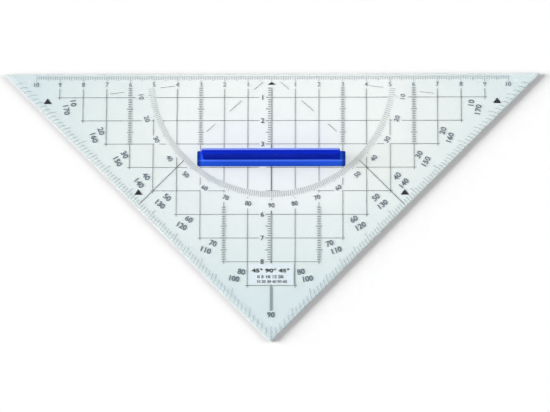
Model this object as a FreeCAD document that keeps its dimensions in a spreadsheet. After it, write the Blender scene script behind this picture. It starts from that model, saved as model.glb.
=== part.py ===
import FreeCAD, Part
import Sketcher
import math
import os

# Transparent 45 degree drawing triangle (hypotenuse 227 mm) with printed centimetre grid,
# millimetre rule and two degree scales, and a one-piece lift-off gripping handle.
# Frame: X along the hypotenuse, Y from the right-angle tip to the hypotenuse, Z up from the
# surface the stand-off nubs rest on. The protractor centre is the middle of the hypotenuse.
# Lengths are millimetres. "depth" below means distance from the hypotenuse edge, towards -Y.

V = FreeCAD.Vector
doc = FreeCAD.newDocument("set_square")

# ---------------------------------------------------------------- sizes
sheet = doc.addObject("Spreadsheet::Sheet", "Sizes")
SIZES = [
    ("hyp_len", 227.2), ("alt_len", 113.6), ("half_alt", 56.8), ("half_hyp", 113.6),
    ("plate_thick", 2.2), ("edge_land", 1.3), ("facet_rise", 0.9),
    ("facet_leg", 1.5), ("facet_hyp", 0.6), ("tip_radius", 0.3),
    ("nub_height", 0.15), ("nub_dia", 1.6),
    ("nub_far_x", 103.2), ("nub_far_y", 53.8), ("nub_mid_x", 15.0), ("nub_low_y", -48.9),
    ("bore_dia", 4.10), ("peg_dia", 4.00), ("peg_half_pitch", 25.0), ("peg_len", 2.0),
    ("peg_lead", 0.35),
    ("grip_y", 20.1), ("grip_z", 2.35),
    ("flange_len", 62.3), ("flange_wid", 6.3), ("flange_thick", 1.8), ("flange_round", 0.7),
    ("flange_edge", 0.25),
    ("fin_len", 57.5), ("fin_root", 3.4), ("fin_top", 2.65), ("fin_rise", 9.0),
    ("fin_setback", 0.35), ("fin_blend", 0.6), ("fin_round", 0.7), ("fin_crown", 0.35),
    ("film", 0.02), ("film_z", 0.12),
    ("tick_half", 0.08), ("rung_half", 0.25), ("grid_wid", 0.18), ("grid_over", 0.9),
    ("centre_wid", 0.34), ("grid_start", 6.3),
    ("rule_start", 0.9), ("rule_one", 1.4), ("rule_five", 1.9), ("rule_ten", 2.3),
    ("rule_base", 0.05), ("rule_half_span", 100.0),
    ("arc_in", 50.4), ("arc_base", 0.05), ("arc_one", 2.3), ("arc_five", 2.6),
    ("arc_ten", 2.9), ("arc_first_deg", 7.0), ("arc_last_deg", 173.0),
    ("arc_num_r", 56.2), ("arc_gap_r", 2.2),
    ("leg_start", 0.8), ("leg_one", 3.05), ("leg_five", 3.9), ("leg_ten", 4.5),
    ("leg_first_deg", 2.0), ("leg_last_deg", 90.0), ("leg_base", 0.05),
    ("rung_one", 1.5), ("rung_five", 2.4),
    ("guide_wid", 0.14), ("diag_wid", 0.2), ("diag_from", 50.0), ("diag_to", 78.6),
    ("mark_wid", 3.4), ("mark_high", 2.35), ("zero_mark_depth", 2.0),
    ("panel_half", 9.4), ("panel_top", 81.0), ("panel_bottom", 89.6),
]
for i, (name, value) in enumerate(SIZES, start=1):
    sheet.set("A%d" % i, name)
    sheet.set("B%d" % i, str(value))
    sheet.setAlias("B%d" % i, name)
doc.recompute()
S = {name: float(sheet.get(name)) for name, _ in SIZES}


# ---------------------------------------------------------------- helpers
def origin_plane(body, role):
    for item in body.Origin.OriginFeatures:
        if item.Role == role:
            return item
    raise RuntimeError(role)


def new_body(label):
    body = doc.addObject("PartDesign::Body", label)
    body.Label = label
    return body


def new_sketch(body, name, role="XY_Plane", z=None, z_expr=None):
    sk = body.newObject("Sketcher::SketchObject", name)
    sk.AttachmentSupport = [(origin_plane(body, role), "")]
    sk.MapMode = "FlatFace"
    if z is not None:
        sk.AttachmentOffset = FreeCAD.Placement(V(0, 0, z), FreeCAD.Rotation())
        if z_expr:
            sk.setExpression("AttachmentOffset.Base.z", z_expr)
    return sk


def polygon(sk, pts):
    """Closed chain of lines with coincident corners; returns the index of the first line."""
    first = sk.GeometryCount
    n = len(pts)
    for k in range(n):
        a, b = pts[k], pts[(k + 1) % n]
        sk.addGeometry(Part.LineSegment(V(a[0], a[1], 0), V(b[0], b[1], 0)), False)
    for k in range(n):
        sk.addConstraint(Sketcher.Constraint("Coincident", first + k, 2,
                                             first + (k + 1) % n, 1))
    return first


def bind(sk, constraint, expression):
    index = sk.addConstraint(constraint)
    sk.setExpression("Constraints[%d]" % index, expression)
    return index


def rectangle(sk, x0, y0, x1, y1, ex0, ey0, ex1, ey1):
    """Axis-aligned rectangle; each side is placed by an expression for its signed distance."""
    g = polygon(sk, [(x0, y0), (x1, y0), (x1, y1), (x0, y1)])
    for k, kind in ((0, "Horizontal"), (1, "Vertical"), (2, "Horizontal"), (3, "Vertical")):
        sk.addConstraint(Sketcher.Constraint(kind, g + k))
    bind(sk, Sketcher.Constraint("DistanceX", -1, 1, g, 1, x0), ex0)
    bind(sk, Sketcher.Constraint("DistanceY", -1, 1, g, 1, y0), ey0)
    bind(sk, Sketcher.Constraint("DistanceX", -1, 1, g + 2, 1, x1), ex1)
    bind(sk, Sketcher.Constraint("DistanceY", -1, 1, g + 2, 1, y1), ey1)
    return g


def pad(body, name, sk, length_expr, reverse=False, midplane=False):
    feature = body.newObject("PartDesign::Pad", name)
    feature.Profile = sk
    feature.setExpression("Length", length_expr)
    feature.Reversed = reverse
    feature.Midplane = midplane
    sk.Visibility = False
    return feature


def triangle(sk, inset_leg, inset_hyp, e_leg, e_hyp):
    """Right-angled isosceles outline moved in from the full outline by the two insets."""
    top = S["half_alt"] - inset_hyp
    low = -S["half_alt"] + inset_leg * math.sqrt(2.0)
    half = top - low
    g = polygon(sk, [(-half, top), (0.0, low), (half, top)])
    sk.addConstraint(Sketcher.Constraint("PointOnObject", g + 1, 1, -2))
    sk.addConstraint(Sketcher.Constraint("Symmetric", g, 1, g + 1, 2, -2))
    bind(sk, Sketcher.Constraint("DistanceY", -1, 1, g, 1, top), "Sizes.half_alt - " + e_hyp)
    bind(sk, Sketcher.Constraint("DistanceY", g + 1, 1, -1, 1, -low),
         "Sizes.half_alt - %s * sqrt(2)" % e_leg)
    bind(sk, Sketcher.Constraint("DistanceX", -1, 1, g + 1, 2, half),
         "2 * Sizes.half_alt - %s - %s * sqrt(2)" % (e_hyp, e_leg))
    return g


# ---------------------------------------------------------------- plate
plate = new_body("plate")
z0 = S["nub_height"]

sk = new_sketch(plate, "plate_outline", z=z0, z_expr="Sizes.nub_height")
triangle(sk, 0.0, 0.0, "0", "0")
pad(plate, "plate_slab", sk, "Sizes.edge_land")
doc.recompute()

# the three ruling edges are facetted: a straight land below, a slope above
low = new_sketch(plate, "facet_foot", z=z0 + S["edge_land"],
                 z_expr="Sizes.nub_height + Sizes.edge_land")
triangle(low, 0.0, 0.0, "0", "0")
high = new_sketch(plate, "facet_head", z=z0 + S["edge_land"] + S["facet_rise"],
                  z_expr="Sizes.nub_height + Sizes.edge_land + Sizes.facet_rise")
triangle(high, S["facet_leg"], S["facet_hyp"], "Sizes.facet_leg", "Sizes.facet_hyp")
facets = plate.newObject("PartDesign::AdditiveLoft", "plate_facets")
facets.Profile = low
facets.Sections = [high]
facets.Ruled = True
low.Visibility = high.Visibility = False
doc.recompute()

# bores for the two handle pegs
sk = new_sketch(plate, "peg_bores_sketch")
for side in (-1, 1):
    c = sk.addGeometry(Part.Circle(V(side * S["peg_half_pitch"], S["grip_y"], 0),
                                   V(0, 0, 1), S["bore_dia"] / 2), False)
    bind(sk, Sketcher.Constraint("Diameter", c, S["bore_dia"]), "Sizes.bore_dia")
    if side > 0:
        bind(sk, Sketcher.Constraint("DistanceX", -1, 1, c, 3, S["peg_half_pitch"]),
             "Sizes.peg_half_pitch")
    else:
        bind(sk, Sketcher.Constraint("DistanceX", c, 3, -1, 1, S["peg_half_pitch"]),
             "Sizes.peg_half_pitch")
    bind(sk, Sketcher.Constraint("DistanceY", -1, 1, c, 3, S["grip_y"]), "Sizes.grip_y")
bores = plate.newObject("PartDesign::Pocket", "peg_bores")
bores.Profile = sk
bores.Type = "ThroughAll"
bores.Midplane = True
sk.Visibility = False
doc.recompute()

# stand-off nubs that keep the printed underside clear of wet ink
sk = new_sketch(plate, "nub_sketch")
NUBS = [(-1, "nub_far_x", "nub_far_y"), (1, "nub_far_x", "nub_far_y"),
        (-1, "nub_mid_x", "grip_y"), (1, "nub_mid_x", "grip_y"), (0, None, "nub_low_y")]
for side, xn, yn in NUBS:
    x = side * S[xn] if xn else 0.0
    c = sk.addGeometry(Part.Circle(V(x, S[yn], 0), V(0, 0, 1), S["nub_dia"] / 2), False)
    bind(sk, Sketcher.Constraint("Diameter", c, S["nub_dia"]), "Sizes.nub_dia")
    if side == 0:
        sk.addConstraint(Sketcher.Constraint("PointOnObject", c, 3, -2))
    elif side > 0:
        bind(sk, Sketcher.Constraint("DistanceX", -1, 1, c, 3, x), "Sizes." + xn)
    else:
        bind(sk, Sketcher.Constraint("DistanceX", c, 3, -1, 1, -x), "Sizes." + xn)
    if S[yn] > 0:
        bind(sk, Sketcher.Constraint("DistanceY", -1, 1, c, 3, S[yn]), "Sizes." + yn)
    else:
        bind(sk, Sketcher.Constraint("DistanceY", c, 3, -1, 1, -S[yn]), "-Sizes." + yn)
nubs = pad(plate, "standoff_nubs", sk, "Sizes.nub_height")
doc.recompute()

# the three tips are blunted by an outline with small rounds
sk = new_sketch(plate, "tip_trim_sketch")
far = S["half_hyp"] + 20.0
polygon(sk, [(-far, -far), (far, -far), (far, far), (-far, far)])
r = S["tip_radius"]
top, tip, half = S["half_alt"], -S["half_alt"], S["half_hyp"]
reach = r / math.tan(math.radians(22.5))
d = reach / math.sqrt(2.0)
dt = r / math.sqrt(2.0)
p = [V(-half + reach, top, 0), V(-half + d, top - d, 0), V(-dt, tip + dt, 0),
     V(dt, tip + dt, 0), V(half - d, top - d, 0), V(half - reach, top, 0)]
bis = r / math.sin(math.radians(22.5))
cl = V(-half + bis * math.cos(math.radians(22.5)), top - bis * math.sin(math.radians(22.5)), 0)
cr = V(-cl.x, cl.y, 0)
cb = V(0, tip + r * math.sqrt(2.0), 0)


def arc_mid(centre, a, b):
    m = (a + b) * 0.5 - centre
    return centre + m * (r / m.Length)


def arc(a, centre, b):
    return Part.Arc(a, arc_mid(centre, a, b), b)


sk.addGeometry(arc(p[0], cl, p[1]), False)
sk.addGeometry(Part.LineSegment(p[1], p[2]), False)
sk.addGeometry(arc(p[2], cb, p[3]), False)
sk.addGeometry(Part.LineSegment(p[3], p[4]), False)
sk.addGeometry(arc(p[4], cr, p[5]), False)
sk.addGeometry(Part.LineSegment(p[5], p[0]), False)
trim = plate.newObject("PartDesign::Pocket", "tip_trim")
trim.Profile = sk
trim.Type = "ThroughAll"
trim.Midplane = True
sk.Visibility = False
doc.recompute()

# ---------------------------------------------------------------- handle
handle = new_body("handle")
gz, gy = S["grip_z"], S["grip_y"]
rear = gy + S["flange_wid"] / 2

sk = new_sketch(handle, "flange_sketch", z=gz, z_expr="Sizes.grip_z")
rectangle(sk, -S["flange_len"] / 2, gy - S["flange_wid"] / 2, S["flange_len"] / 2, rear,
          "-Sizes.flange_len / 2", "Sizes.grip_y - Sizes.flange_wid / 2",
          "Sizes.flange_len / 2", "Sizes.grip_y + Sizes.flange_wid / 2")
pad(handle, "flange", sk, "Sizes.flange_thick")
doc.recompute()

# upright fin at the back of the flange, thinner at the top, blended into the flange in front
sk = new_sketch(handle, "fin_sketch", role="YZ_Plane")
y1 = rear - S["fin_setback"]
y0f = y1 - S["fin_root"]
yt = y1 - S["fin_top"]
zf = gz + S["flange_thick"]
zt = zf + S["fin_rise"]
g = polygon(sk, [(y1, zf - 0.5), (y1, zt), (yt, zt), (y0f, zf), (y0f, zf - 0.5)])
sk.addConstraint(Sketcher.Constraint("Vertical", g))
sk.addConstraint(Sketcher.Constraint("Horizontal", g + 1))
sk.addConstraint(Sketcher.Constraint("Vertical", g + 3))
sk.addConstraint(Sketcher.Constraint("Horizontal", g + 4))
bind(sk, Sketcher.Constraint("DistanceX", -1, 1, g, 1, y1),
     "Sizes.grip_y + Sizes.flange_wid / 2 - Sizes.fin_setback")
bind(sk, Sketcher.Constraint("DistanceX", g + 2, 1, g, 2, S["fin_top"]), "Sizes.fin_top")
bind(sk, Sketcher.Constraint("DistanceX", g + 2, 2, g, 1, S["fin_root"]), "Sizes.fin_root")
bind(sk, Sketcher.Constraint("DistanceY", -1, 1, g, 2, zt),
     "Sizes.grip_z + Sizes.flange_thick + Sizes.fin_rise")
bind(sk, Sketcher.Constraint("DistanceY", g + 2, 2, g + 1, 2, S["fin_rise"]), "Sizes.fin_rise")
bind(sk, Sketcher.Constraint("DistanceY", g + 3, 2, g + 2, 2, 0.5), "0.5")
pad(handle, "fin", sk, "Sizes.fin_len", midplane=True)
doc.recompute()


def edges_where(shape, test):
    names = []
    for k, e in enumerate(shape.Edges, start=1):
        if test(e):
            names.append("Edge%d" % k)
    return names


def straight(e, axis, tol=1e-4):
    if len(e.Vertexes) != 2:
        return False
    d = e.Vertexes[1].Point - e.Vertexes[0].Point
    if d.Length < 1e-6:
        return False
    d.normalize()
    return abs(abs(d.dot(axis)) - 1) < tol


def fillet(body, name, base, names, expr):
    f = body.newObject("PartDesign::Fillet", name)
    f.Base = (base, names)
    f.setExpression("Radius", expr)
    doc.recompute()
    return f


X, Y, Z = V(1, 0, 0), V(0, 1, 0), V(0, 0, 1)
fillet(handle, "fin_ends", handle.Tip, edges_where(
    handle.Shape, lambda e: e.CenterOfMass.z > zf + 1 and e.CenterOfMass.z < zt - 1
    and abs(abs(e.CenterOfMass.x) - S["fin_len"] / 2) < 1e-3), "Sizes.fin_round")
fillet(handle, "flange_corners", handle.Tip, edges_where(
    handle.Shape, lambda e: straight(e, Z) and abs(abs(e.CenterOfMass.x)
    - S["flange_len"] / 2) < 1e-3), "Sizes.flange_round")
fillet(handle, "fin_crown", handle.Tip, edges_where(
    handle.Shape, lambda e: abs(e.CenterOfMass.z - zt) < 1e-3), "Sizes.fin_crown")
fillet(handle, "flange_rim", handle.Tip, edges_where(
    handle.Shape, lambda e: abs(e.CenterOfMass.z - zf) < 1e-3 and
    (abs(e.CenterOfMass.y - (gy - S["flange_wid"] / 2)) < 0.3 or
     abs(e.CenterOfMass.y - rear) < 0.2 or
     abs(abs(e.CenterOfMass.x) - S["flange_len"] / 2) < 0.35)), "Sizes.flange_edge")
fillet(handle, "fin_blend", handle.Tip, edges_where(
    handle.Shape, lambda e: abs(e.CenterOfMass.z - zf) < 1e-3 and straight(e, X)
    and abs(e.CenterOfMass.y - y0f) < 1e-2), "Sizes.fin_blend")

# pegs under the flange
sk = new_sketch(handle, "peg_sketch", z=gz + 0.3, z_expr="Sizes.grip_z + 0.3")
for side in (-1, 1):
    c = sk.addGeometry(Part.Circle(V(side * S["peg_half_pitch"], gy, 0),
                                   V(0, 0, 1), S["peg_dia"] / 2), False)
    bind(sk, Sketcher.Constraint("Diameter", c, S["peg_dia"]), "Sizes.peg_dia")
    if side > 0:
        bind(sk, Sketcher.Constraint("DistanceX", -1, 1, c, 3, S["peg_half_pitch"]),
             "Sizes.peg_half_pitch")
    else:
        bind(sk, Sketcher.Constraint("DistanceX", c, 3, -1, 1, S["peg_half_pitch"]),
             "Sizes.peg_half_pitch")
    bind(sk, Sketcher.Constraint("DistanceY", -1, 1, c, 3, gy), "Sizes.grip_y")
pad(handle, "pegs", sk, "Sizes.peg_len + 0.3", reverse=True)
doc.recompute()
lead = handle.newObject("PartDesign::Chamfer", "peg_lead_in")
lead.Base = (doc.getObject("pegs"), edges_where(
    doc.getObject("pegs").Shape, lambda e: abs(e.CenterOfMass.z - (gz - S["peg_len"])) < 1e-3))
lead.setExpression("Size", "Sizes.peg_lead")
doc.recompute()

# ---------------------------------------------------------------- printed films
fz = S["film_z"]
FZ = "Sizes.film_z"


def film_pad(body, name, sk):
    return pad(body, name, sk, "Sizes.film")


def pattern(body, label, kind, source, sk, count, length=None, angle=None, rev=False):
    f = body.newObject(kind, label)
    f.Originals = [source]
    if kind.endswith("LinearPattern"):
        f.Direction = (sk, ["H_Axis"])
        f.setExpression("Length", length)
    else:
        f.Axis = (sk, ["N_Axis"])
        f.setExpression("Angle", angle)
        f.Reversed = rev
    f.Occurrences = count
    f.Refine = False
    body.Tip = f
    doc.recompute()
    return f


# millimetre rule along the hypotenuse, 10 - 0 - 10 cm
rule = new_body("ink_hypotenuse_scale")
ys = S["half_alt"] - S["rule_start"]
span = S["rule_half_span"]
sk = new_sketch(rule, "rule_base_sketch", z=fz, z_expr=FZ)
rectangle(sk, -span, ys - S["rule_base"], span, ys, "-Sizes.rule_half_span",
          "Sizes.half_alt - Sizes.rule_start - Sizes.rule_base", "Sizes.rule_half_span",
          "Sizes.half_alt - Sizes.rule_start")
film_pad(rule, "rule_base_line", sk).Refine = False
doc.recompute()
for name, depth, count in (("one", "rule_one", 201), ("five", "rule_five", 41),
                           ("ten", "rule_ten", 21)):
    sk = new_sketch(rule, "rule_%s_sketch" % name, z=fz, z_expr=FZ)
    rectangle(sk, -span - S["tick_half"], ys - S[depth], -span + S["tick_half"], ys,
              "-Sizes.rule_half_span - Sizes.tick_half",
              "Sizes.half_alt - Sizes.rule_start - Sizes." + depth,
              "-Sizes.rule_half_span + Sizes.tick_half", "Sizes.half_alt - Sizes.rule_start")
    f = film_pad(rule, "rule_%s_tick" % name, sk)
    f.Refine = False
    doc.recompute()
    pattern(rule, "rule_%s_row" % name, "PartDesign::LinearPattern", f, sk, count,
            length="2 * Sizes.rule_half_span")

# protractor band about the middle of the hypotenuse: sketches centred on that point
band = new_body("ink_protractor_band")
cy = S["half_alt"]


def ring_sector(sk, r0, r1, a0, a1):
    c = V(0, 0, 0)

    def at(rad, deg):
        return V(rad * math.cos(math.radians(deg)), -rad * math.sin(math.radians(deg)), 0)
    m = (a0 + a1) / 2
    sk.addGeometry(Part.Arc(at(r0, a0), at(r0, m), at(r0, a1)), False)
    sk.addGeometry(Part.LineSegment(at(r0, a1), at(r1, a1)), False)
    sk.addGeometry(Part.Arc(at(r1, a1), at(r1, m), at(r1, a0)), False)
    sk.addGeometry(Part.LineSegment(at(r1, a0), at(r0, a0)), False)
    return c


def centred(sk):
    sk.AttachmentOffset = FreeCAD.Placement(V(0, cy, fz), FreeCAD.Rotation())
    sk.setExpression("AttachmentOffset.Base.y", "Sizes.half_alt")
    sk.setExpression("AttachmentOffset.Base.z", FZ)
    return sk


a0, a1 = S["arc_first_deg"], S["arc_last_deg"]
sk = centred(new_sketch(band, "band_line_sketch"))
ring_sector(sk, S["arc_in"], S["arc_in"] + S["arc_base"], a0, a1)
film_pad(band, "band_line", sk).Refine = False
doc.recompute()
for name, depth, start, stop, step in (("one", "arc_one", 7, 173, 1),
                                       ("five", "arc_five", 10, 170, 5),
                                       ("ten", "arc_ten", 10, 170, 10)):
    sk = centred(new_sketch(band, "band_%s_sketch" % name))
    r0, r1, w = S["arc_in"], S["arc_in"] + S[depth], S["tick_half"]
    t = math.radians(start)
    ux, uy, nx, ny = math.cos(t), -math.sin(t), math.sin(t), math.cos(t)
    pts = [(r0 * ux - w * nx, r0 * uy - w * ny), (r1 * ux - w * nx, r1 * uy - w * ny),
           (r1 * ux + w * nx, r1 * uy + w * ny), (r0 * ux + w * nx, r0 * uy + w * ny)]
    polygon(sk, pts)
    f = film_pad(band, "band_%s_tick" % name, sk)
    f.Refine = False
    doc.recompute()
    pattern(band, "band_%s_fan" % name, "PartDesign::PolarPattern", f, sk,
            (stop - start) // step + 1, angle="%d" % (stop - start), rev=True)


def prism(pts):
    """Thin film with the outline pts, given as (x, depth) with depth below the hypotenuse."""
    vs = [V(x, cy - dep, fz) for x, dep in pts]
    wire = Part.makePolygon(vs + [vs[0]])
    return Part.Face(wire).extrude(V(0, 0, S["film"]))


def film_feature(label, shapes):
    """Printed outlines whose spacing follows no row or fan: positions come from the sheet."""
    obj = doc.addObject("Part::Feature", label)
    obj.Label = label
    obj.Shape = Part.makeCompound(shapes) if len(shapes) > 1 else shapes[0]
    obj.Placement = FreeCAD.Placement()
    return obj


# degree scale along each leg: a comb whose teeth point at the protractor centre
def leg_comb(side):
    def hit(deg, offset, inset):
        # point on the line parallel to the leg, inset from it, along the ray at deg
        t = math.radians(deg)
        ux, uy = math.cos(t), math.sin(t)
        ox, oy = -offset * math.sin(t), offset * math.cos(t)
        k = (S["half_hyp"] - inset * math.sqrt(2.0) - ox - oy) / (ux + uy)
        return (side * (ox + k * ux), oy + k * uy)
    s0 = S["leg_start"]
    s1 = s0 + S["leg_base"]
    w = S["tick_half"]
    n0, n1 = int(S["leg_first_deg"]), int(S["leg_last_deg"])
    pts = []
    for deg in range(n0, n1 + 1):
        inset = S["leg_ten"] if deg % 10 == 0 else S["leg_five"] if deg % 5 == 0 else S["leg_one"]
        if deg == n1:
            pts += [hit(deg, -w, s1), hit(deg, -w, inset), (0.0, hit(deg, -w, inset)[1])]
        else:
            pts += [hit(deg, -w, s1), hit(deg, -w, inset), hit(deg, w, inset), hit(deg, w, s1)]
    pts.append((0.0, S["half_hyp"] - s0 * math.sqrt(2.0)))
    pts.append(hit(n0, -w, s0))
    return prism(pts)


def mirror_free(pts, side):
    return [(side * x, dep) for x, dep in pts]


film_feature("ink_leg_scale_right", [leg_comb(1)])
film_feature("ink_leg_scale_left", [leg_comb(-1)])


# short millimetre ladders on some of the grid's vertical lines
def ladder(x, d0, d1, spine, one_sided=False):
    pts_r, w = [], S["rung_half"]
    h = spine / 2
    for mm in range(d0, d1 + 1):
        half = (S["rung_five"] if mm % 5 == 0 else S["rung_one"]) * (1.0 if one_sided else 0.5)
        a, b = mm - w, mm + w
        pts_r += [(h, a), (half, a), (half, b), (h, b)]
    if one_sided:
        pts = [(x + h, d0 - w), (x + h, d1 + w)]
    else:
        pts = [(x + px, dep) for px, dep in pts_r]
    pts += [(x - px, dep) for px, dep in reversed(pts_r)]
    return prism(pts)


LADDERS = [(-60, 6, 30), (60, 6, 30), (-30, 6, 30), (30, 6, 30),
           (-20, 57, 79), (20, 57, 79)]
g_w, c_w = S["grid_wid"], S["centre_wid"]
film_feature("ink_ladders_outer", [ladder(x, a, b, g_w) for x, a, b in LADDERS[:2]])
film_feature("ink_ladders_inner", [ladder(x, a, b, g_w) for x, a, b in LADDERS[2:4]])
film_feature("ink_ladders_lower", [ladder(x, a, b, g_w) for x, a, b in LADDERS[4:]])
STEM = [(-0.5, 90.4), (0.5, 90.4), (0.5, 100.6), (-0.5, 100.6)]      # broad stroke to the 90 mark
film_feature("ink_ladders_centre", [ladder(0, 6, 30, c_w, True), ladder(0, 60, 79, c_w, True),
                                    prism(STEM)])


# thin pointers: dashes at 7 and 42 degrees, full lines at 45 degrees
def ray(deg, ra, rb, w):
    t = math.radians(deg)
    ux, uy = math.cos(t), math.sin(t)
    nx, ny = -uy * w / 2, ux * w / 2
    return [(ra * ux + nx, ra * uy + ny), (rb * ux + nx, rb * uy + ny),
            (rb * ux - nx, rb * uy - ny), (ra * ux - nx, ra * uy - ny)]


gw = S["guide_wid"]
DASHES = [(7, 41.5, 47.5), (7, 63.0, 69.0), (42, 5.0, 10.0), (42, 17.0, 24.0), (42, 32.0, 37.0)]
film_feature("ink_hatch_guides", [prism(mirror_free(ray(a, b, c, gw), side))
                                  for a, b, c in DASHES for side in (-1, 1)])
film_feature("ink_diagonals", [prism(mirror_free(ray(45, S["diag_from"] + 2.2, S["diag_to"],
                                                     S["diag_wid"]), side))
                               for side in (-1, 1)])


# solid arrowheads: zero of the rule, and the ends of the 7 and 42 degree pointers
def arrow(x, dep):
    w, h = S["mark_wid"] / 2, S["mark_high"] / 2
    return prism([(x - w, dep + h), (x + w, dep + h), (x, dep - h)])


ARROWS = [(95.1, 11.5), (56.0, 50.5)]
zero_arrow = prism([(-S["mark_wid"] / 2, 4.6), (S["mark_wid"] / 2, 4.6), (0.0, 3.35)])
film_feature("ink_zero_arrow", [zero_arrow])
arrows = [arrow(side * x, dep) for x, dep in ARROWS for side in (-1, 1)]
film_feature("ink_angle_arrows", arrows)

# pale panel behind the legend
film_feature("ink_legend_panel", [prism([
    (-S["panel_half"], S["panel_top"]), (S["panel_half"], S["panel_top"]),
    (S["panel_half"], S["panel_bottom"]), (-S["panel_half"], S["panel_bottom"])])])

# ---------------------------------------------------------------- centimetre grid
lines = []


def grid_box(name, x_expr, dep_expr, len_expr, wid_expr):
    """Box from (x, depth) to (x + len, depth + wid)."""
    b = doc.addObject("Part::Box", name)
    b.setExpression("Length", len_expr)
    b.setExpression("Width", wid_expr)
    b.setExpression("Height", "Sizes.film")
    b.setExpression("Placement.Base.x", x_expr)
    b.setExpression("Placement.Base.y", "Sizes.half_alt - (%s) - (%s)" % (dep_expr, wid_expr))
    b.setExpression("Placement.Base.z", "Sizes.film_z")
    b.Visibility = False
    lines.append(b)
    return b


for n in range(1, 10):
    half = "(%d + Sizes.grid_over)" % (100 - 10 * n)
    grid_box("row_%d" % n, "-" + half, "%d - Sizes.grid_wid / 2" % (10 * n), "2 * " + half,
             "Sizes.grid_wid")
for n in range(-9, 10):
    if n == 0:
        continue
    bottom = 100 - 10 * abs(n)
    grid_box("column_%s%d" % ("m" if n < 0 else "p", abs(n)),
             "%d - Sizes.grid_wid / 2" % (10 * n), "Sizes.grid_start", "Sizes.grid_wid",
             "%d + Sizes.grid_over - Sizes.grid_start" % bottom)
grid_box("column_centre", "-Sizes.centre_wid / 2", "Sizes.grid_start", "Sizes.centre_wid",
         "100 - Sizes.grid_start")
grid_all = doc.addObject("Part::MultiFuse", "grid_lines")
grid_all.Shapes = lines
grid_all.Refine = False
doc.recompute()

# gaps: ladders, protractor band and its numbers, depth numbers, legend panel, pointers, arrows
cut_solids = []


def slab(x0, x1, d0, d1):
    return Part.makeBox(x1 - x0, d1 - d0, 1.0, V(x0, cy - d1, fz - 0.5))


for x, a, b in LADDERS + [(0, 6, 30), (0, 60, 79)]:
    w = S["rung_half"]
    out = S["rung_five"] / 2
    left, right = (2 * out, S["centre_wid"] / 2) if x == 0 else (out, out)
    cut_solids.append(slab(x - left, x + right, a - w - 0.02, b + w + 0.02))
r_in, r_out = S["arc_in"] - 0.3, S["arc_in"] + S["arc_ten"] + 0.3
ring = Part.makeCylinder(r_out, 1.0, V(0, cy, fz - 0.5)).cut(
    Part.makeCylinder(r_in, 1.0, V(0, cy, fz - 0.5)))
cut_solids.append(ring)
for deg in range(10, 180, 10):
    t = math.radians(deg)
    cut_solids.append(Part.makeCylinder(S["arc_gap_r"], 1.0, V(
        S["arc_num_r"] * math.cos(t), cy - S["arc_num_r"] * math.sin(t), fz - 0.5)))
for n in range(1, 9):
    cut_solids.append(slab(-5.2, -2.4, 10 * n - 1.3, 10 * n + 1.3))
cut_solids.append(slab(-S["panel_half"] - 0.35, S["panel_half"] + 0.35, S["panel_top"] - 0.35,
                       S["panel_bottom"] + 0.05))
cut_solids.append(slab(-0.55, 0.55, 90.35, 100.65))
for x, dep in ARROWS:
    for side in (-1, 1):
        cut_solids.append(slab(side * x - 2.2, side * x + 2.2, dep - 1.6, dep + 1.6))
for a, b, c in DASHES:
    for side in (-1, 1):
        poly = mirror_free(ray(a, b, c, gw), side)
        vs = [V(px, cy - dep, fz - 0.5) for px, dep in poly]
        cut_solids.append(Part.Face(Part.makePolygon(vs + [vs[0]])).extrude(V(0, 0, 1)))
for side in (-1, 1):
    poly = mirror_free(ray(45, S["diag_from"] + 2.2, S["diag_to"], S["diag_wid"]), side)
    vs = [V(px, cy - dep, fz - 0.5) for px, dep in poly]
    cut_solids.append(Part.Face(Part.makePolygon(vs + [vs[0]])).extrude(V(0, 0, 1)))
gaps = doc.addObject("Part::Feature", "grid_gaps")
gaps.Shape = cut_solids[0].multiFuse(cut_solids[1:])
gaps.Placement = FreeCAD.Placement()
grid = doc.addObject("Part::Cut", "ink_grid")
grid.Label = "ink_grid"
grid.Base = grid_all
grid.Tool = gaps
grid.Refine = False
doc.recompute()

# ---------------------------------------------------------------- checks and files
NODES = ["plate", "handle", "ink_hypotenuse_scale", "ink_protractor_band",
         "ink_leg_scale_right", "ink_leg_scale_left", "ink_grid", "ink_ladders_outer",
         "ink_ladders_inner", "ink_ladders_lower", "ink_ladders_centre", "ink_hatch_guides",
         "ink_diagonals", "ink_zero_arrow", "ink_angle_arrows", "ink_legend_panel"]
bad = [obj.Name for obj in doc.Objects
       if "Invalid" in obj.State or "Error" in obj.State]
if bad:
    raise RuntimeError("objects in error: " + ", ".join(bad))
os.makedirs("parts", exist_ok=True)
for label in NODES:
    obj = doc.getObjectsByLabel(label)[0]
    shape = obj.Shape
    if shape.isNull() or not shape.isValid() or not shape.Solids:
        raise RuntimeError("bad shape: " + label)
    shape.exportStep("parts/%s.step" % label)
    print("%-24s solids %3d faces %5d volume %10.3f" % (
        label, len(shape.Solids), len(shape.Faces), shape.Volume))
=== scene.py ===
import bpy
import bmesh
import math
from mathutils import Matrix, Vector


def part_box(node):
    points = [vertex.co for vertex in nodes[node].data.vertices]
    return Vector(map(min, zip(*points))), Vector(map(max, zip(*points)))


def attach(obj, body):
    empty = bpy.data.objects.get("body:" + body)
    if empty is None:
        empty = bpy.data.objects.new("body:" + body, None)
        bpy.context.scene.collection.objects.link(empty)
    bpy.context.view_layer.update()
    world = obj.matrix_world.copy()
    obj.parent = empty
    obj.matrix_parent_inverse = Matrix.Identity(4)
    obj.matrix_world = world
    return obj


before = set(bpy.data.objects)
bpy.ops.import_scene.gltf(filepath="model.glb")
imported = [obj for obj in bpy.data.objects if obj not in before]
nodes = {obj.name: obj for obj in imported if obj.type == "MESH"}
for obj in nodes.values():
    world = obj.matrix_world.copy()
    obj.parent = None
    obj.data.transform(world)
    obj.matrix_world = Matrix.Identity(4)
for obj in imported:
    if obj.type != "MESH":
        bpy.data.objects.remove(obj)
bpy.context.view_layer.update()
scene = bpy.context.scene
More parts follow.
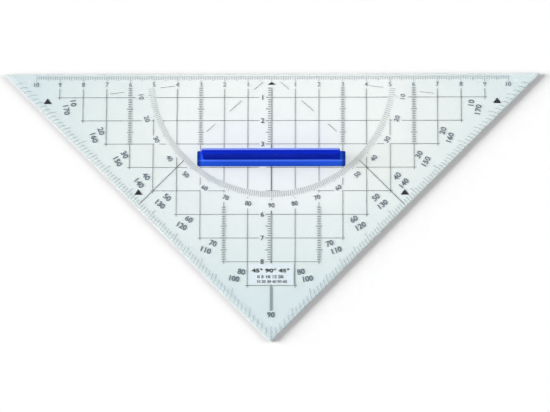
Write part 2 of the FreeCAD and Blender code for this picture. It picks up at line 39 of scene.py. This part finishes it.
scene.view_settings.view_transform = "Standard"
scene.view_settings.look = "None"
scene.view_settings.exposure = 0.0

# ------------------------------------------------------------------ frame facts
plate_lo, plate_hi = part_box("plate")
rule_lo, rule_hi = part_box("ink_hypotenuse_scale")
grip_lo, grip_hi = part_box("handle")
HYP = plate_hi.y                      # the ruled edge
MM = 0.001
HALF = 113.6                          # nominal half hypotenuse, mm
FILM_LO, FILM_HI = rule_lo.z, rule_hi.z
TOP = plate_hi.z
UNDER = TOP - 2.2 * MM                # underside of the plate


def P(x, depth, z):
    """A point from x and depth below the ruled edge (millimetres) and z in metres."""
    return Vector((x * MM, HYP - depth * MM, z))


# handle: flange top above the peg ends (mm), back face of the fin (m)
FLANGE_TOP = (grip_hi.z - grip_lo.z) / MM - 9.0
FIN_BACK = grip_hi.y - 0.35 * MM


# ------------------------------------------------------------------ node helpers
def new_material(name):
    m = bpy.data.materials.new(name)
    m.use_nodes = True
    m.node_tree.nodes.clear()
    return m


class Net:
    def __init__(self, mat):
        self.t = mat.node_tree
        self.x = 0

    def add(self, kind, **props):
        n = self.t.nodes.new(kind)
        self.x += 180
        n.location = (self.x, 0)
        for k, v in props.items():
            setattr(n, k, v)
        return n

    def link(self, a, b):
        self.t.links.new(a, b)

    def math(self, op, a, b=None, c=None, clamp=False):
        n = self.add("ShaderNodeMath", operation=op, use_clamp=clamp)
        for i, v in enumerate((a, b, c)):
            if v is None:
                continue
            if isinstance(v, (int, float)):
                n.inputs[i].default_value = v
            else:
                self.link(v, n.inputs[i])
        return n.outputs[0]

    def mix(self, fac, a, b):
        n = self.add("ShaderNodeMix", data_type="RGBA")
        for sock, v in ((n.inputs[0], fac), (n.inputs[6], a), (n.inputs[7], b)):
            if isinstance(v, (int, float)):
                sock.default_value = v
            elif isinstance(v, tuple):
                sock.default_value = v
            else:
                self.link(v, sock)
        return n.outputs[2]

    def ramp(self, fac, stops, interpolation="LINEAR"):
        n = self.add("ShaderNodeValToRGB")
        n.color_ramp.interpolation = interpolation
        e = n.color_ramp.elements
        while len(e) < len(stops):
            e.new(0.5)
        for el, (p, c) in zip(e, stops):
            el.position = p
            el.color = c if len(c) == 4 else (*c, 1)
        self.link(fac, n.inputs[0])
        return n

    def noise(self, vec, scale, detail=3.0, rough=0.5, distortion=0.0):
        n = self.add("ShaderNodeTexNoise")
        n.inputs["Scale"].default_value = scale
        n.inputs["Detail"].default_value = detail
        n.inputs["Roughness"].default_value = rough
        n.inputs["Distortion"].default_value = distortion
        self.link(vec, n.inputs["Vector"])
        return n.outputs["Fac"]


def rgb(r, g, b):
    """sRGB 0-255 to a linear colour."""
    def f(v):
        v /= 255.0
        return v / 12.92 if v <= 0.04045 else ((v + 0.055) / 1.055) ** 2.4
    return (f(r), f(g), f(b), 1.0)


# ------------------------------------------------------------------ clear acrylic
def acrylic():
    m = new_material("clear_acrylic")
    n = Net(m)
    geo = n.add("ShaderNodeTexCoord").outputs["Object"]
    # faint cloudiness of the sheet; the darker, greener tone towards the three tips and down the
    # altitude is painted shade
    off = n.add("ShaderNodeVectorMath", operation="SUBTRACT")
    n.link(geo, off.inputs[0])
    off.inputs[1].default_value = (0.006, HYP - 0.020, 0.0)
    scl = n.add("ShaderNodeVectorMath", operation="MULTIPLY")
    n.link(off.outputs[0], scl.inputs[0])
    scl.inputs[1].default_value = (1.0, 1.5, 0.0)
    dist = n.add("ShaderNodeVectorMath", operation="LENGTH")
    n.link(scl.outputs[0], dist.inputs[0])
    far = n.math("DIVIDE", dist.outputs["Value"], 0.120)
    cloud = n.noise(geo, 40.0, 2.0, 0.5)
    t = n.math("ADD", far, n.math("MULTIPLY", n.math("SUBTRACT", cloud, 0.5), 0.20), clamp=True)
    sheet_tint_and_shade = n.ramp(t, [(0.0, (0.962, 0.978, 0.966)), (0.38, (0.945, 0.970, 0.962)),
                      (0.52, (0.875, 0.925, 0.920)), (0.70, (0.820, 0.890, 0.890)),
                      (0.93, (0.745, 0.840, 0.865))]).outputs[0]
    # painted shade: the sawn and polished upright lands are coloured darker and greener than the broad
    # faces
    gn = n.add("ShaderNodeNewGeometry")
    sep = n.add("ShaderNodeSeparateXYZ")
    n.link(gn.outputs["Normal"], sep.inputs[0])
    up = n.math("ABSOLUTE", sep.outputs[2])
    pos = n.add("ShaderNodeSeparateXYZ")
    n.link(geo, pos.inputs[0])
    nub = n.math("LESS_THAN", pos.outputs[2], UNDER - 0.00001)
    upright = n.math("MULTIPLY", n.ramp(up, [(0.30, (1, 1, 1)), (0.42, (0, 0, 0))]).outputs[0],
                     n.math("SUBTRACT", 1.0, nub))
    sheet_tint_and_shade = n.mix(upright, sheet_tint_and_shade, (0.56, 0.62, 0.62, 1))
    p = n.add("ShaderNodeBsdfPrincipled")
    n.link(sheet_tint_and_shade, p.inputs["Base Color"])
    # the lands are fine-sawn: partly frosted, where the broad faces are clear
    slope = n.ramp(up, [(0.42, (1, 1, 1)), (0.92, (1, 1, 1)), (0.95, (0, 0, 0))]).outputs[0]
    frost = n.math("ADD", n.math("MULTIPLY", upright, 0.50), n.math("MULTIPLY", slope, 0.14))
    n.link(n.math("SUBTRACT", 1.0, n.math("MULTIPLY", frost, n.math("SUBTRACT", 1.0, nub))),
           p.inputs["Transmission Weight"])
    p.inputs["IOR"].default_value = 1.49
    # handling haze and hairline scratches
    stretch = n.add("ShaderNodeMapping")
    stretch.inputs["Rotation"].default_value = (0, 0, 0.6)
    stretch.inputs["Scale"].default_value = (60.0, 2200.0, 400.0)
    n.link(geo, stretch.inputs["Vector"])
    hair = n.noise(stretch.outputs[0], 1.0, 2.0, 0.5)
    smudge = n.noise(geo, 60.0, 4.0, 0.6)
    r = n.math("MULTIPLY", smudge, 0.05)
    n.link(n.math("ADD", r, 0.005), p.inputs["Roughness"])
    bump = n.add("ShaderNodeBump")
    bump.inputs["Strength"].default_value = 0.02
    bump.inputs["Distance"].default_value = 0.00002
    n.link(hair, bump.inputs["Height"])
    n.link(bump.outputs[0], p.inputs["Normal"])
    # light that goes through to the paper: clear on the broad faces and the facets; the
    # upright lands stop light that arrives from outside and let out light from inside
    level = n.ramp(up, [(0.45, (0.93, 0.95, 0.95)), (0.9, (0.965, 0.98, 0.98)),
                        (0.97, (0.978, 0.992, 0.988))]).outputs[0]
    land = n.mix(gn.outputs["Backfacing"], (0.03, 0.033, 0.035, 1), (0.93, 0.95, 0.95, 1))
    through = n.mix(upright, level, land)
    # the last half millimetre under the right leg is turned back by the land above it
    inset = n.math("MULTIPLY", n.math("SUBTRACT", n.math("ADD", pos.outputs[1], HALF * MM - HYP),
                                      pos.outputs[0]), 100.0)
    rim = n.ramp(inset, [(0.06, (1, 1, 1)), (0.12, (0, 0, 0))]).outputs[0]
    through = n.mix(n.math("MULTIPLY", rim, n.math("GREATER_THAN", up, 0.97)), through,
                    (0.10, 0.11, 0.115, 1))
    clear = n.add("ShaderNodeBsdfTransparent")
    n.link(through, clear.inputs[0])
    path = n.add("ShaderNodeLightPath")
    m1 = n.add("ShaderNodeMixShader")
    n.link(path.outputs["Is Diffuse Ray"], m1.inputs[0])
    n.link(p.outputs[0], m1.inputs[1])
    n.link(clear.outputs[0], m1.inputs[2])
    m2 = n.add("ShaderNodeMixShader")
    n.link(path.outputs["Is Shadow Ray"], m2.inputs[0])
    n.link(m1.outputs[0], m2.inputs[1])
    n.link(clear.outputs[0], m2.inputs[2])
    out = n.add("ShaderNodeOutputMaterial")
    n.link(m2.outputs[0], out.inputs[0])
    return m


# ------------------------------------------------------------------ printed inks
def ink(name, dark, light, rough=0.6):
    """Screen-printed film: slightly uneven cover, dry matt surface."""
    m = new_material(name)
    n = Net(m)
    geo = n.add("ShaderNodeTexCoord").outputs["Object"]
    blot = n.noise(geo, 900.0, 3.0, 0.6)
    grain = n.noise(geo, 9000.0, 2.0, 0.5)
    mixed = n.math("ADD", n.math("MULTIPLY", blot, 0.6), n.math("MULTIPLY", grain, 0.4))
    col = n.ramp(mixed, [(0.3, dark), (0.7, light)]).outputs[0]
    p = n.add("ShaderNodeBsdfPrincipled")
    n.link(col, p.inputs["Base Color"])
    p.inputs["Specular IOR Level"].default_value = 0.1
    n.link(n.math("ADD", n.math("MULTIPLY", grain, 0.2), rough - 0.1), p.inputs["Roughness"])
    bump = n.add("ShaderNodeBump")
    bump.inputs["Strength"].default_value = 0.15
    bump.inputs["Distance"].default_value = 0.000004
    n.link(grain, bump.inputs["Height"])
    n.link(bump.outputs[0], p.inputs["Normal"])
    out = n.add("ShaderNodeOutputMaterial")
    n.link(p.outputs[0], out.inputs[0])
    return m


# ------------------------------------------------------------------ blue moulding
def blue_plastic():
    m = new_material("blue_moulding")
    n = Net(m)
    geo = n.add("ShaderNodeTexCoord").outputs["Object"]
    flow = n.add("ShaderNodeMapping")
    flow.inputs["Scale"].default_value = (18.0, 160.0, 160.0)
    n.link(geo, flow.inputs["Vector"])
    streak = n.noise(flow.outputs[0], 1.0, 3.0, 0.55)
    spark = n.noise(geo, 5200.0, 3.0, 0.6)
    deep = n.ramp(streak, [(0.3, rgb(3, 30, 176)), (0.7, rgb(8, 40, 190))]).outputs[0]
    flange_lit_blue = n.ramp(streak, [(0.3, rgb(26, 74, 196)), (0.7, rgb(38, 90, 212))]).outputs[0]
    # painted light: the flange is coloured a lighter blue than the upright grip; the pale root blend
    # and crown's back edge are painted highlights, and the darker ends are painted shade
    pos = n.add("ShaderNodeSeparateXYZ")
    n.link(geo, pos.inputs[0])
    top = n.math("MULTIPLY", n.math("SUBTRACT", pos.outputs[2], grip_lo.z), 1000.0)
    zf = FLANGE_TOP
    body = n.ramp(n.math("DIVIDE", top, 16.0),
                  [((zf + 0.02) / 16, (0, 0, 0)), ((zf + 0.45) / 16, (1, 1, 1))]).outputs[0]
    # painted highlight: a pale blue line on the flange along the root of the fin
    root_highlight_mask = n.ramp(n.math("MULTIPLY", n.math("SUBTRACT", FIN_BACK, pos.outputs[1]), 100.0),
                  [(0.335, (0, 0, 0)), (0.345, (1, 1, 1)), (0.395, (1, 1, 1)),
                   (0.425, (0, 0, 0))]).outputs[0]
    low = n.math("LESS_THAN", top, zf + 0.5)
    col = n.mix(body, flange_lit_blue, deep)
    col = n.mix(n.math("MULTIPLY", root_highlight_mask, low), col, rgb(78, 118, 240))
    gn = n.add("ShaderNodeNewGeometry")
    sep = n.add("ShaderNodeSeparateXYZ")
    n.link(gn.outputs["Normal"], sep.inputs[0])
    # painted highlight: a pale lavender line along the back edge of the crown
    back = n.math("MULTIPLY", n.math("GREATER_THAN", pos.outputs[1], FIN_BACK - 0.0008),
                  n.math("GREATER_THAN", pos.outputs[2], grip_hi.z - 0.0005))
    back = n.math("MULTIPLY", back,
                  n.math("LESS_THAN", n.math("ABSOLUTE", sep.outputs[0]), 0.5))
    col = n.mix(n.math("MULTIPLY", back, 0.9), col, rgb(130, 150, 242))
    # painted shade: both ends of the handle darkened
    ends_shade_mask = n.ramp(n.math("DIVIDE", n.math("ABSOLUTE", pos.outputs[0]), grip_hi.x),
                  [(0.935, (0, 0, 0)), (0.97, (1, 1, 1))]).outputs[0]
    col = n.mix(n.math("MULTIPLY", ends_shade_mask, 0.8), col, rgb(12, 38, 116))
    p = n.add("ShaderNodeBsdfPrincipled")
    n.link(col, p.inputs["Base Color"])
    p.inputs["IOR"].default_value = 1.5
    # the drawn sides of the moulding are duller than its level faces
    face = n.ramp(n.math("ABSOLUTE", sep.outputs[2]), [(0.80, (0, 0, 0)), (0.97, (1, 1, 1))]).outputs[0]
    n.link(n.math("ADD", n.math("MULTIPLY", face, 0.105), 0.015), p.inputs["Specular IOR Level"])
    p.inputs["Subsurface Weight"].default_value = 0.0
    dull = n.math("MULTIPLY", n.math("SUBTRACT", 1.0, face), 0.20)
    n.link(n.math("ADD", n.math("ADD", n.math("MULTIPLY", spark, 0.14), 0.24), dull),
           p.inputs["Roughness"])
    bump = n.add("ShaderNodeBump")
    bump.inputs["Strength"].default_value = 0.08
    bump.inputs["Distance"].default_value = 0.00002
    n.link(spark, bump.inputs["Height"])
    n.link(bump.outputs[0], p.inputs["Normal"])
    # the dyed plastic lets some light through, so its shadow is pale
    glow = n.add("ShaderNodeBsdfTransparent")
    glow.inputs[0].default_value = (0.87, 0.87, 0.85, 1)
    path = n.add("ShaderNodeLightPath")
    ms = n.add("ShaderNodeMixShader")
    n.link(path.outputs["Is Shadow Ray"], ms.inputs[0])
    n.link(p.outputs[0], ms.inputs[1])
    n.link(glow.outputs[0], ms.inputs[2])
    out = n.add("ShaderNodeOutputMaterial")
    n.link(ms.outputs[0], out.inputs[0])
    return m


ACRYLIC = acrylic()
GREY = ink("grey_ink", (0.045, 0.052, 0.06), (0.080, 0.090, 0.10))
TICK = ink("tick_ink", (0.29, 0.34, 0.38), (0.37, 0.425, 0.47))
BAND = ink("band_ink", (0.30, 0.32, 0.325), (0.40, 0.42, 0.425))
RUNG = ink("rung_ink", (0.33, 0.345, 0.36), (0.41, 0.425, 0.44))
DIGIT = ink("digit_ink", (0.115, 0.15, 0.19), (0.19, 0.235, 0.28))
BLACK = ink("black_ink", (0.0008, 0.001, 0.003), (0.003, 0.003, 0.007), 0.8)
PALE = ink("pale_ink", (0.93, 0.93, 0.985), (0.96, 0.96, 1.0), 0.7)
BLUE = blue_plastic()

LOOK = {"plate": ACRYLIC, "handle": BLUE, "ink_legend_panel": PALE, "ink_zero_arrow": BLACK,
        "ink_angle_arrows": BLACK, "ink_hypotenuse_scale": TICK, "ink_leg_scale_right": TICK,
        "ink_leg_scale_left": TICK, "ink_protractor_band": BAND, "ink_ladders_outer": RUNG,
        "ink_ladders_inner": RUNG, "ink_ladders_lower": RUNG, "ink_ladders_centre": RUNG}
for name, obj in nodes.items():
    mat = LOOK.get(name, GREY)
    obj.data.materials.clear()
    obj.data.materials.append(mat)


# ------------------------------------------------------------------ printed numbers
def glyph_mesh(text, height, bold):
    """Outline of a number as a thin solid, centred on the origin, cap height as given."""
    cu = bpy.data.curves.new("g", "FONT")
    cu.body = text
    cu.size = 1.0
    cu.resolution_u = 3
    cu.offset = bold
    cu.extrude = 0.5
    ob = bpy.data.objects.new("g", cu)
    scene.collection.objects.link(ob)
    bpy.context.view_layer.update()
    me = bpy.data.meshes.new_from_object(ob)
    bpy.data.objects.remove(ob)
    vs = [v.co.copy() for v in me.vertices]
    fs = [tuple(p.vertices) for p in me.polygons]
    bpy.data.meshes.remove(me)
    bpy.data.curves.remove(cu)
    x0, x1 = min(v.x for v in vs), max(v.x for v in vs)
    y0, y1 = min(v.y for v in vs), max(v.y for v in vs)
    k = height / (y1 - y0)
    cx, cy = (x0 + x1) / 2, (y0 + y1) / 2
    return [((v.x - cx) * k, (v.y - cy) * k, v.z) for v in vs], fs


_glyphs = {}


def number_piece(name, items, mat, bold=0.0):
    """items: (text, x, depth, height mm, up direction as an angle in degrees, width factor)."""
    verts, faces = [], []
    zc, zh = (FILM_LO + FILM_HI) / 2, (FILM_HI - FILM_LO) / 2
    for text, x, depth, height, up, squeeze in items:
        key = (text, height, bold)
        if key not in _glyphs:
            _glyphs[key] = glyph_mesh(text, height * MM, bold)
        vs, fs = _glyphs[key]
        c = P(x, depth, zc)
        a = math.radians(up - 90.0)
        ca, sa = math.cos(a), math.sin(a)
        base = len(verts)
        for vx, vy, vz in vs:
            vx *= squeeze
            verts.append((c.x + ca * vx - sa * vy, c.y + sa * vx + ca * vy,
                          zc + (1 if vz > 0 else -1) * zh))
        faces += [tuple(base + i for i in f) for f in fs]
    me = bpy.data.meshes.new(name)
    me.from_pydata(verts, [], faces)
    me.update()
    bm = bmesh.new()
    bm.from_mesh(me)
    bmesh.ops.remove_doubles(bm, verts=bm.verts, dist=1e-7)
    bmesh.ops.recalc_face_normals(bm, faces=bm.faces)
    bm.to_mesh(me)
    bm.free()
    me.materials.append(mat)
    ob = bpy.data.objects.new(name, me)
    scene.collection.objects.link(ob)
    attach(ob, "plate")
    return ob


# rule: 10 .. 1 and 1 .. 10
number_piece("numbers_rule", [(str(abs(k)), 10.0 * k, 4.4, 1.9, 90, 1.0)
                              for k in range(-10, 11) if k != 0], DIGIT)
# depth numbers beside the centre line
number_piece("numbers_depth", [(str(k), -3.8, 10.0 * k, 2.1, 90, 1.0)
                               for k in (1, 2, 3, 6, 7, 8)], GREY, 0.01)


# protractor numbers: upright towards the centre
def polar(deg, r):
    t = math.radians(deg)
    return r * math.cos(t), r * math.sin(t)


items = []
for deg in range(10, 180, 10):
    x, d = polar(deg, 56.2)
    items.append((str(min(deg, 180 - deg)), x, d, 2.0, 180 - deg, 1.0))
number_piece("numbers_protractor", items, DIGIT, 0.015)


# two rows of degree numbers along the legs: the supplements nearer the edge, then the angles
def leg_point(deg, inset):
    """Where the ray at deg (0..180, right to left) comes within inset of the leg."""
    t = math.radians(min(deg, 180 - deg))
    k = (HALF - inset * math.sqrt(2.0)) / (math.cos(t) + math.sin(t))
    x, d = k * math.cos(t), k * math.sin(t)
    return (x if deg <= 90 else -x), d


outer, inner = [], []
for deg in range(10, 180, 10):
    if deg == 90:
        continue
    x, d = leg_point(deg, 7.9)
    outer.append((str(max(deg, 180 - deg)), x, d, 2.4, 180 - deg, 1.0))
    x, d = x + (-2.9 if deg < 90 else 2.9), d - 2.9
    inner.append((str(min(deg, 180 - deg)), x, d, 2.4, 180 - deg, 1.0))
number_piece("numbers_leg_outer", outer, DIGIT, 0.025)
number_piece("numbers_leg_inner", inner, DIGIT, 0.02)
number_piece("number_tip", [("90", 0.0, 102.2, 2.4, 90, 1.0)], DIGIT, 0.025)

# generic legend on the pale panel: the three angles of the tool, then its rule marks
number_piece("legend_main", [("45° 90° 45°", -0.2, 83.7, 1.8, 90, 1.6)], BLACK,
             0.05)
number_piece("legend_minor", [("0 5 10 15 20", -0.3, 86.3, 1.35, 90, 1.25),
                              ("10 20 30 40 50 60", 0.4, 88.3, 1.2, 90, 1.15)],
             GREY, 0.04)

# ------------------------------------------------------------------ floor
me = bpy.data.meshes.new("floor")
bm = bmesh.new()
N = 8
R = 3.0
grid = [[bm.verts.new((-R + 2 * R * i / N, -R + 2 * R * j / N, 0.0)) for j in range(N + 1)]
        for i in range(N + 1)]
for i in range(N):
    for j in range(N):
        bm.faces.new((grid[i][j], grid[i + 1][j], grid[i + 1][j + 1], grid[i][j + 1]))
bm.to_mesh(me)
bm.free()
floor = bpy.data.objects.new("floor", me)
scene.collection.objects.link(floor)
fm = new_material("paper_white")
n = Net(fm)
geo = n.add("ShaderNodeTexCoord").outputs["Object"]
fibre = n.noise(geo, 220.0, 3.0, 0.6)
col = n.ramp(fibre, [(0.3, (0.905, 0.905, 0.905)), (0.7, (0.925, 0.925, 0.925))]).outputs[0]
p = n.add("ShaderNodeBsdfDiffuse")
n.link(col, p.inputs[0])
out = n.add("ShaderNodeOutputMaterial")
n.link(p.outputs[0], out.inputs[0])
me.materials.append(fm)

# ------------------------------------------------------------------ light
world = bpy.data.worlds.new("studio")
scene.world = world
world.use_nodes = True
world.node_tree.nodes.clear()
w = Net(world)
sky = w.add("ShaderNodeTexCoord").outputs["Generated"]
sxyz = w.add("ShaderNodeSeparateXYZ")
w.link(sky, sxyz.inputs[0])
rise = w.math("MAXIMUM", sxyz.outputs[2], 0.0)
bg = w.add("ShaderNodeBackground")
bg.inputs["Color"].default_value = (1, 1, 1, 1)
w.link(w.math("ADD", w.math("MULTIPLY", rise, 0.15), 0.16), bg.inputs["Strength"])
backdrop = w.add("ShaderNodeBackground")          # pale wall beyond the table, as seen
backdrop.inputs["Color"].default_value = (0.995, 0.995, 0.995, 1)
wm = w.add("ShaderNodeMixShader")
ray = w.add("ShaderNodeLightPath")
seen = w.math("MAXIMUM", ray.outputs["Is Camera Ray"],
              w.math("MULTIPLY", ray.outputs["Is Transmission Ray"], 0.7))
w.link(seen, wm.inputs[0])
w.link(bg.outputs[0], wm.inputs[1])
w.link(backdrop.outputs[0], wm.inputs[2])
wo = w.add("ShaderNodeOutputWorld")
w.link(wm.outputs[0], wo.inputs[0])


def soft_sun(name, energy, angle, travel):
    sun = bpy.data.lights.new(name, "SUN")
    sun.energy = energy
    sun.angle = math.radians(angle)
    ob = bpy.data.objects.new(name, sun)
    scene.collection.objects.link(ob)
    ob.rotation_euler = Vector(travel).normalized().to_track_quat("-Z", "Y").to_euler()
    ob.visible_glossy = False          # large diffused panels: no hard glint at grazing angles


# two low broad lights along the hypotenuse: the key from the left, a weaker fill from the right
soft_sun("key", 7.3, 32, (1.0, -0.03, -0.28))
soft_sun("fill", 1.85, 32, (-1.0, -0.03, -0.40))

# ------------------------------------------------------------------ camera
cam = bpy.data.cameras.new("cam")
cam.sensor_width = 36.0
cam.lens = 122.82
cam.clip_start = 0.01
co = bpy.data.objects.new("cam", cam)
scene.collection.objects.link(co)
eye = Vector((0.022, -0.112, 0.78))
aim = Vector((0.00154, 0.00045, 0.0))
back = (eye - aim).normalized()
upv = (Vector((0, 1, 0)) - back * back.y).normalized()
right = upv.cross(back)
roll = 0.0030
right, upv = (right * math.cos(roll) + upv * math.sin(roll),
              upv * math.cos(roll) - right * math.sin(roll))
co.matrix_world = Matrix(((right.x, upv.x, back.x, eye.x), (right.y, upv.y, back.y, eye.y),
                          (right.z, upv.z, back.z, eye.z), (0, 0, 0, 1)))
scene.camera = co
